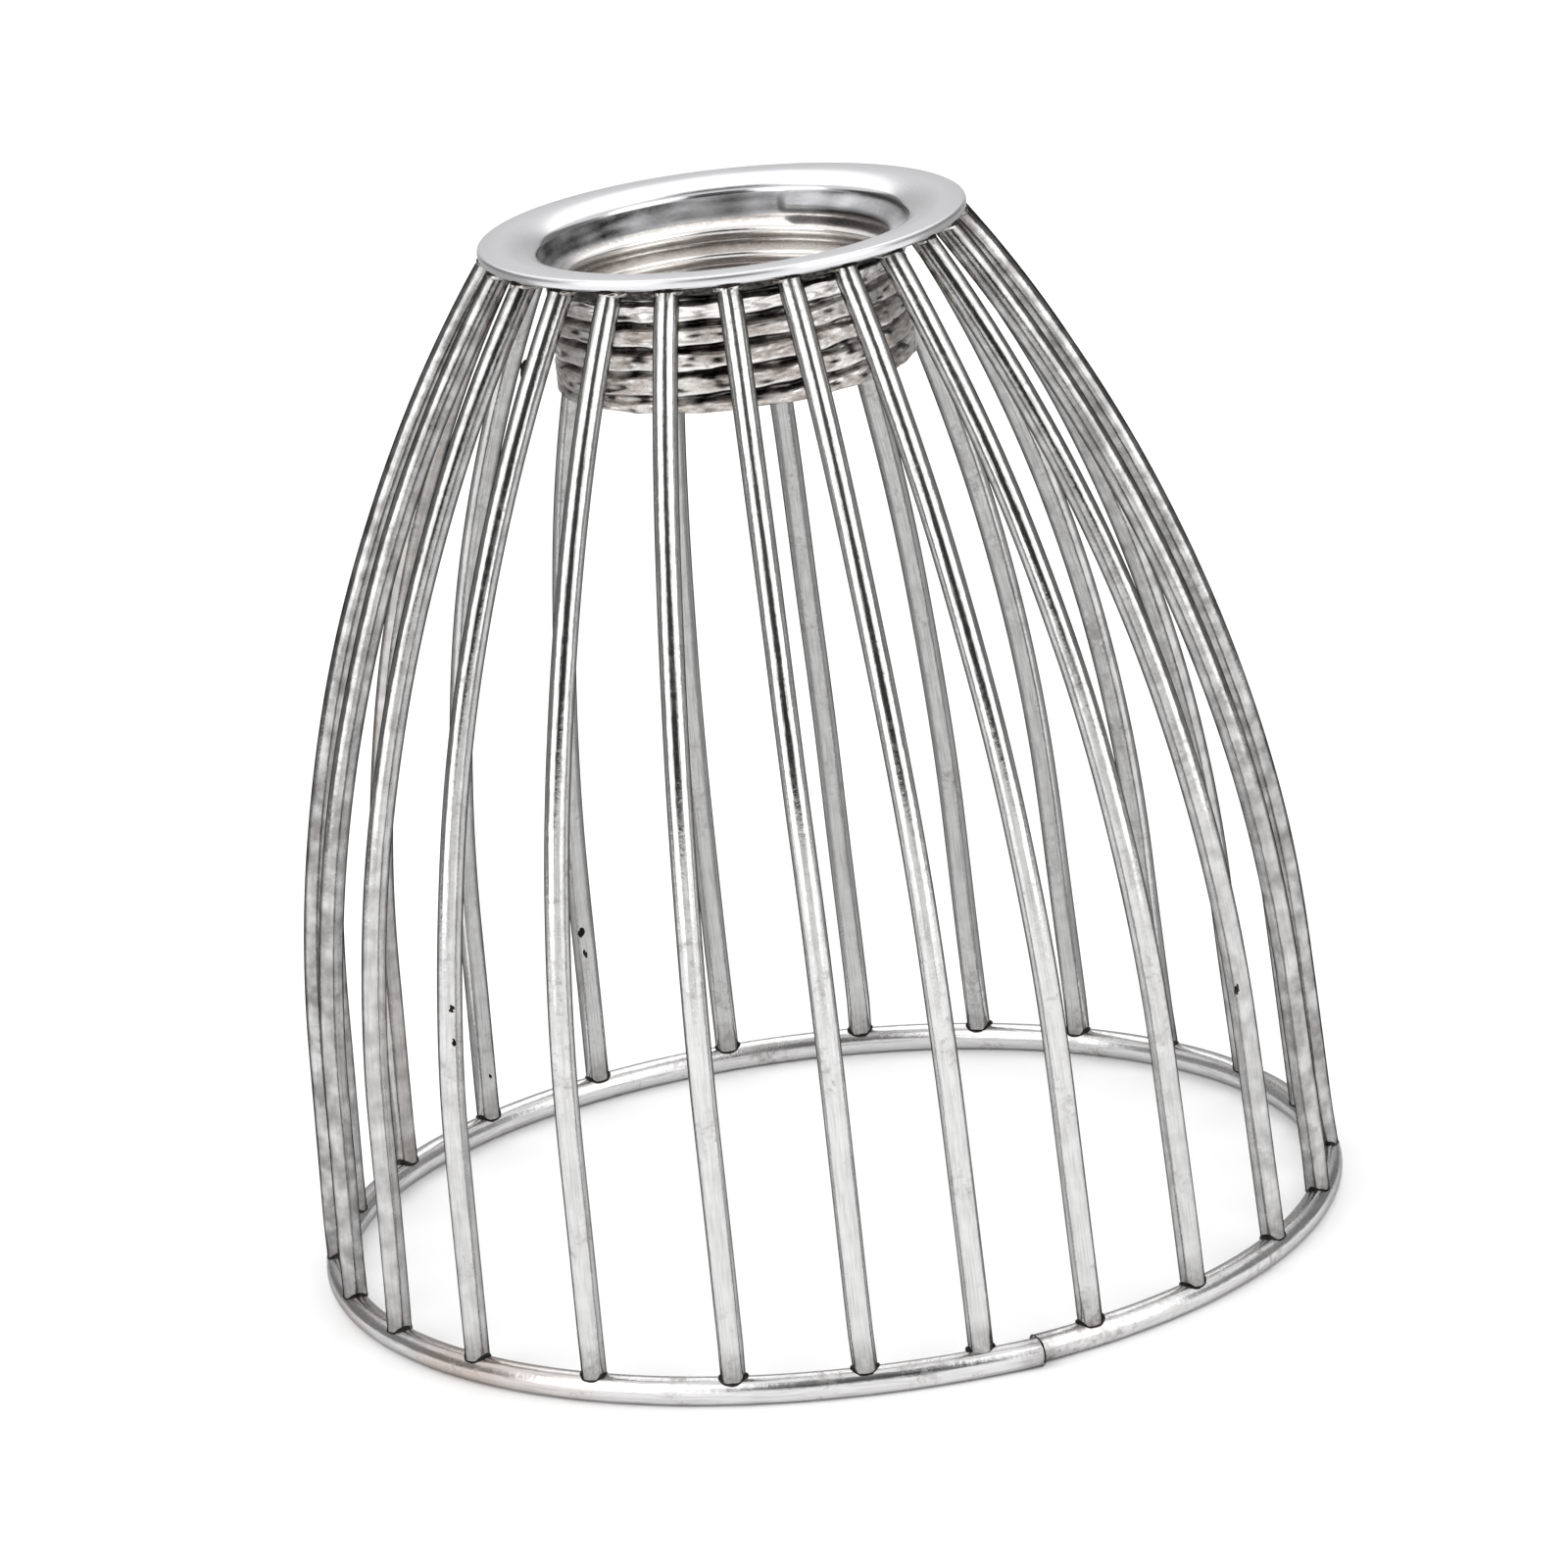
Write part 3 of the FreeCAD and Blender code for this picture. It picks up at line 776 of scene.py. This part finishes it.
# %% The seams' tree: a loop of points laid on the seat
SEAM_POINTS = 40
seam_tree, given = new_tree("weld_seams", [
    "Seam Radius", "Stretch", "In", "Seat Radius", "Seat Height", "Lowest", "Bead Radius", "Corner Swell",
    "Tilt"])
t = seam_tree
loop = add(t, "GeometryNodeCurvePrimitiveCircle", {"Resolution": SEAM_POINTS, "Radius": 1.0})
place = add(t, "GeometryNodeInputPosition")
spot = add(t, "ShaderNodeSeparateXYZ", {0: place}).node.outputs
corner = add(t, MATH, {0: spot["X"], 1: 4.0}, operation="POWER")
swell = add(t, MATH, {0: corner, 1: given["Corner Swell"], 2: 0.55}, operation="MULTIPLY_ADD")
loop = add(t, STORE, {"Geometry": loop, "Name": "swell", "Value": swell})
aside = add(t, MATH, {0: spot["X"], 1: given["Seam Radius"]}, operation="MULTIPLY")
inward_r = add(t, MATH, {0: spot["Y"], 1: given["Seam Radius"]}, operation="MULTIPLY")
inward_r = add(t, MATH, {0: inward_r, 1: given["Stretch"]}, operation="MULTIPLY")
seat_squared = add(t, MATH, {0: given["Seat Radius"], 1: 2.0}, operation="POWER")
off_squared = add(t, MATH, {0: inward_r, 1: inward_r}, operation="MULTIPLY")
under = add(t, MATH, {0: seat_squared, 1: off_squared}, operation="SUBTRACT")
under = add(t, MATH, {0: under, 1: 0.0}, operation="MAXIMUM")
crown = add(t, MATH, {0: under}, operation="SQRT")
seat = add(t, MATH, {0: crown, 1: given["Seat Height"]}, operation="ADD")
seat = add(t, MATH, {0: seat, 1: given["Lowest"]}, operation="MAXIMUM")
along_y = add(t, MATH, {0: inward_r, 1: given["In"]}, operation="ADD")
laid = add(t, COMBINE, {"X": aside, "Y": along_y, "Z": seat})
loop = add(t, SET_POSITION, {"Geometry": loop, "Position": laid})

# %% The seams' tree: a lumpy bead along each loop
BEAD_POINTS = 8
BEAD_LUMP_SIZE = 0.9 * MM
azimuth = add(t, "GeometryNodeInputNamedAttribute", {"Name": "azimuth"})
turn = add(t, COMBINE, {"X": given["Tilt"], "Z": azimuth})
seams = add(t, "GeometryNodeInstanceOnPoints", {"Points": given["Seed"], "Instance": loop, "Rotation": turn})
seams = add(t, "GeometryNodeRealizeInstances", {"Geometry": seams})
lumps = add(t, NOISE, {"Vector": place, "Scale": 1 / BEAD_LUMP_SIZE, "Detail": 2.0}, out="Fac")
lumps = add(t, MAP_RANGE, {"Value": lumps, "From Min": 0.3, "From Max": 0.75,
                           "To Min": 0.45, "To Max": 1.7})
swelling = add(t, "GeometryNodeInputNamedAttribute", {"Name": "swell"})
thick = add(t, MATH, {0: lumps, 1: swelling}, operation="MULTIPLY")
bead = add(t, "GeometryNodeCurvePrimitiveCircle", {"Resolution": BEAD_POINTS, "Radius": given["Bead Radius"]})
beads = add(t, "GeometryNodeCurveToMesh", {"Curve": seams, "Profile Curve": bead, "Scale": thick})
t.interface.new_socket("Finish", in_out="INPUT", socket_type="NodeSocketMaterial")
close_tree(t, beads, given["Finish"])

# %% Grow the seams
plain_seam = {"Stretch": 1.0, "In": 0.0, "Seat Radius": 0.0, "Seat Height": 0.0, "Lowest": 0.0, "Tilt": 0.0}
# Burnt weld and painted shade: in front the dark foot seam fills the gap under each wire's square end.
foot_seam = plain_seam | {
    "Seam Radius": 0.98 * WIRE_R, "In": foot_rise * math.tan(WIRE_LEAN), "Seat Radius": RING_WIRE_R,
    "Seat Height": RING_WIRE_R, "Lowest": RING_WIRE_R + foot_rise - 0.05 * MM, "Bead Radius": 0.15 * MM,
    "Corner Swell": 0.8, "Finish": burnt_and_shade_finish}
head_seam = plain_seam | {
    "Seam Radius": 0.97 * WIRE_R, "Stretch": 1 / math.cos(head_angle), "In": RING_R - head.x,
    "Seat Height": FLANGE_UNDER - 0.3 * MM, "Bead Radius": 0.34 * MM, "Corner Swell": 0.3,
    "Finish": weld_finish}
# Painted shade: a dark line round each wire right under the flange, swollen at the wire's sides.
head_shade_line = head_seam | {
    "Seam Radius": WIRE_R, "Seat Height": FLANGE_UNDER - 0.06 * MM, "Bead Radius": 0.2 * MM,
    "Corner Swell": 0.9, "Finish": burnt_and_shade_finish}
# Squeezed-out metal whose dark colour is painted shade of the gap and step at the ring's joint.
joint_shade_line = plain_seam | {
    "Seam Radius": RING_WIRE_R, "Bead Radius": 0.1 * MM, "Corner Swell": 0.0, "Tilt": math.pi / 2,
    "Finish": burnt_and_shade_finish}
joint_ends = [(r * math.sin(RING_JOINT), -r * math.cos(RING_JOINT), RING_WIRE_R)
              for r in (RING_R, RING_R + RING_END_DRIFT)]
joint_facings = [RING_JOINT + math.pi / 2] * len(joint_ends)
for name, places, bearings, sizes in (("foot_weld_seams", seats, facings, foot_seam),
                                      ("head_weld_seams", seats, facings, head_seam),
                                      ("head_shade_lines", seats, facings, head_shade_line),
                                      ("ring_joint_shade_line", joint_ends, joint_facings, joint_shade_line)):
    seam = grow(name, seed_mesh(name + "_places", places, azimuth=bearings), seam_tree, sizes)
    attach(seam, "root")

# %% [markdown]
# ## Spatter and nicks
# Plating catches on what the welder left: a few burnt lumps of spatter and raised nicks sit on single
# wires. They are the marks of one hand-made guard, so each is placed by itself: the wire's number, its
# height, which way it faces round the wire (0 is outwards, 90 is to the right) and its size.

# %% The lumps' tree
LUMP_GRAIN = 0.4 * MM
spatter_tree, given = new_tree("spatter", ["Lump Size", "Tallness", "Unevenness"])
t = spatter_tree
lump = add(t, "GeometryNodeMeshIcoSphere", {"Radius": given["Lump Size"], "Subdivisions": 3}, out="Mesh")
size = add(t, "GeometryNodeInputNamedAttribute", {"Name": "size"})
tall = add(t, MATH, {0: size, 1: given["Tallness"]}, operation="MULTIPLY")
shape = add(t, COMBINE, {"X": size, "Y": size, "Z": tall})
lumps = add(t, "GeometryNodeInstanceOnPoints", {"Points": given["Seed"], "Instance": lump, "Scale": shape})
lumps = add(t, "GeometryNodeRealizeInstances", {"Geometry": lumps})
place = add(t, "GeometryNodeInputPosition")
rough = add(t, NOISE, {"Vector": place, "Scale": 1 / LUMP_GRAIN, "Detail": 2.0}, out="Color")
rough = add(t, VECTOR_MATH, {0: rough, 1: (0.5, 0.5, 0.5)}, operation="SUBTRACT")
rough = add(t, VECTOR_MATH, {0: rough, "Scale": given["Unevenness"]}, operation="SCALE")
lumps = add(t, SET_POSITION, {"Geometry": lumps, "Offset": rough})
close_tree(t, lumps, burnt_and_shade_finish)

# %% A few lumps on the wires
NICKS = ((22, 78.4, -85, 0.5), (22, 31.2, 62, 0.2), (22, 28.6, 66, 0.16), (22, 10.0, -75, 0.2),
         (5, 23.4, -72, 0.24), (7, 3.0, 60, 0.16), (15, 16.0, 150, 0.26), (15, 14.0, 158, 0.2),
         (16, 6.0, 160, 0.2))
NICK_SEAT_R = 0.85 * WIRE_R


def wire_point(number, height):
    """Centre of a wire at a height, and the directions outwards and to the right there."""
    if height < bow_start.y:
        r = RING_R - (height - RING_WIRE_R) * math.tan(WIRE_LEAN)
    else:
        r = bow_centre.x + bow_radius * math.cos(math.asin((height - bow_centre.y) / bow_radius))
    facing = facings[number - 1]
    out = Vector((math.sin(facing), -math.cos(facing), 0))
    seat = Vector(seats[number - 1])
    return seat + out * (r - RING_R) + Vector((0, 0, height)), out, Vector((-out.y, out.x, 0))


nick_places = []
nick_sizes = []
for number, height, bearing, nick_size in NICKS:
    centre, out, aside = wire_point(number, height * MM)
    bearing = math.radians(bearing)
    nick_places.append(centre + (out * math.cos(bearing) + aside * math.sin(bearing)) * NICK_SEAT_R)
    nick_sizes.append(nick_size)
nicks = grow("weld_spatter", seed_mesh("nick_places", nick_places, size=nick_sizes), spatter_tree,
             {"Lump Size": 1.0 * MM, "Tallness": 2.2, "Unevenness": 0.6 * MM})
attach(nicks, "root")

# %% [markdown]
# ## Studio
# A pale floor and soft light from both sides. Bright metal shows its surroundings, so the picture is
# made by what stands round it: white all about, a dark cloth above the camera that draws the dark line
# down each wire, and greyer cards at the sides, behind and inside. The cards are seen in reflections
# alone, so they neither light the floor nor shade it.

# %% Sheets and how they are aimed
GUARD_MIDDLE = Vector((0, 0, 45 * MM))


def sheet(name, corners):
    """A flat sheet through corners in its own plane, facing up."""
    data = bpy.data.meshes.new(name)
    data.from_pydata([(x, y, 0) for x, y in corners], [], [tuple(range(len(corners)))])
    piece = bpy.data.objects.new(name, data)
    bpy.context.scene.collection.objects.link(piece)
    return piece


def aim(piece, azimuth, elevation, distance):
    """Put a piece round the guard at a bearing in degrees, with its top face turned to it."""
    a, e = math.radians(azimuth), math.radians(elevation)
    away = Vector((math.sin(a) * math.cos(e), -math.cos(a) * math.cos(e), math.sin(e)))
    turned = (-away).to_track_quat("Z", "Y").to_matrix().to_4x4()
    piece.matrix_world = Matrix.Translation(GUARD_MIDDLE + away * distance) @ turned


def circle(radius, angles):
    """Corners at a radius, for angles from the +X side."""
    return [(radius * math.cos(a), radius * math.sin(a)) for a in angles]


# %% Floor
FLOOR_R = 1.0
round_angles = [2 * math.pi * i / 48 for i in range(48)]
floor = sheet("floor", circle(FLOOR_R, round_angles))
white_sweep = bpy.data.materials.new("white_sweep")
white_sweep.use_nodes = True
sweep_shader = white_sweep.node_tree.nodes["Principled BSDF"]
sweep_shader.inputs["Base Color"].default_value = linear("#FAFAFA")
sweep_shader.inputs["Roughness"].default_value = 0.9
sweep_shader.inputs["Specular IOR Level"].default_value = 0.0
floor.data.materials.append(white_sweep)
print("floor of", 2 * FLOOR_R, "m across")

# %% Cards that only reflections show
MAT_LIFT = 0.2 * MM
MAT_REACH = 1.5
MAT_INNER_R = 48 * MM


def card_finish(name, colour, top_colour, top):
    """A finish that a reflection shows just as its lower and upper colours are written."""
    material = bpy.data.materials.new(name)
    material.use_nodes = True
    tree = material.node_tree
    place = add(tree, "ShaderNodeTexCoord", out="Object")
    across = add(tree, "ShaderNodeSeparateXYZ", {0: place}, out="Y")
    share = add(tree, MAP_RANGE, {"Value": across, "From Min": -top, "From Max": top})
    shaded = layered(tree, linear(colour), ((share, top_colour),))
    glow = add(tree, "ShaderNodeEmission", {"Color": shaded})
    tree.links.new(glow, tree.nodes["Material Output"].inputs["Surface"])
    return material


def card(name, corners, finish):
    """A sheet that only reflections show."""
    piece = sheet(name, corners)
    piece.data.materials.append(finish)
    piece.visible_camera = False
    piece.visible_diffuse = False
    piece.visible_shadow = False
    piece.visible_transmission = False
    return piece


def oblong(half_width, low, high):
    """Corners of an upright oblong."""
    return [(-half_width, low), (half_width, low), (half_width, high), (-half_width, high)]


cloth_corners = [(-1.0, -0.45), (1.0, -0.45), (0.28, 0.5), (-0.28, 0.5)]
front_card = card("card_front", cloth_corners, card_finish("dark_cloth", "#060606", "#686868", 0.45))
aim(front_card, 0, 36, 1.0)
grey_backdrop = card_finish("grey_backdrop", "#868686", "#868686", 0.5)
for name, azimuth in (("card_left", -116), ("card_right", 116)):
    aim(card(name, oblong(1.19, -0.4, 0.5), grey_backdrop), azimuth, 12, 1.5)
pale_backdrop = card_finish("pale_backdrop", "#CACACA", "#CACACA", 0.5)
aim(card("card_back", oblong(1.5, -0.5, 0.4), pale_backdrop), 180, 22, 1.6)

behind = [math.radians(a) for a in range(10, 171, 10)]
behind_corners = circle(MAT_REACH, behind) + circle(MAT_INNER_R, behind[::-1])
inside_corners = circle(RING_R - 3 * MM, round_angles)
for name, corners, finish, colour in (("mat_behind", behind_corners, "dim_floor", "#BABABA"),
                                      ("mat_inside", inside_corners, "grey_mat", "#EAEAEA")):
    card(name, corners, card_finish(finish, colour, colour, 0.5)).location.z = MAT_LIFT
print("cards set")

# %% Lamps and world
LAMP_DISTANCE = 0.95
WORLD_ON_MATT = 0.86
for name, azimuth, elevation, width, height, watts in (("lamp_left", -52, 30, 0.8, 1.1, 3.8),
                                                       ("lamp_right", 52, 30, 0.8, 1.1, 3.8),
                                                       ("lamp_top", 180, 54, 0.9, 0.8, 2.3)):
    lamp = bpy.data.lights.new(name, "AREA")
    lamp.shape = "RECTANGLE"
    lamp.size = width
    lamp.size_y = height
    lamp.energy = watts
    box = bpy.data.objects.new(name, lamp)
    bpy.context.scene.collection.objects.link(box)
    aim(box, azimuth, elevation, LAMP_DISTANCE)
    box.matrix_world = box.matrix_world @ Matrix.Rotation(math.pi, 4, "X")

world = bpy.data.worlds.new("white_studio")
bpy.context.scene.world = world
world.use_nodes = True
tree = world.node_tree
tree.nodes.clear()
rays = add(tree, "ShaderNodeLightPath").node.outputs
seen = rays["Is Camera Ray"]
for ray in ("Is Glossy Ray", "Is Transmission Ray"):
    seen = add(tree, MATH, {0: seen, 1: rays[ray]}, operation="MAXIMUM")
strength = add(tree, MAP_RANGE, {"Value": seen, "To Min": WORLD_ON_MATT, "To Max": 1.0})
sky = add(tree, "ShaderNodeBackground", {"Color": (1, 1, 1, 1), "Strength": strength})
add(tree, "ShaderNodeOutputWorld", {"Surface": sky})
print("stage set")

# %% [markdown]
# ## Camera
# The photograph was taken from a little above with a long lens, and the guard leans to the left in it, so
# the camera is rolled by that much.

# %% Camera
CAMERA_ELEVATION = math.radians(16.73)
CAMERA_ROLL = math.radians(6.54)
CAMERA_DISTANCE = 629.9 * MM
CAMERA_TARGET = Vector((-0.11, 0, 37.87)) * MM
CAMERA_LENS = 176.4
away = Vector((0, -math.cos(CAMERA_ELEVATION), math.sin(CAMERA_ELEVATION)))
level = Vector((1, 0, 0))
upright = away.cross(level)
right = level * math.cos(CAMERA_ROLL) - upright * math.sin(CAMERA_ROLL)
top = away.cross(right)
camera = bpy.data.objects.new("camera", bpy.data.cameras.new("camera"))
bpy.context.scene.collection.objects.link(camera)
camera.matrix_world = Matrix.Translation(CAMERA_TARGET + away * CAMERA_DISTANCE) @ (
    Matrix((right, top, away)).transposed().to_4x4())
camera.data.lens = CAMERA_LENS
camera.data.sensor_width = 36
camera.data.clip_start = 0.01
bpy.context.scene.camera = camera
bpy.context.scene.view_settings.view_transform = "Standard"
print("camera at", [round(v, 3) for v in camera.location])
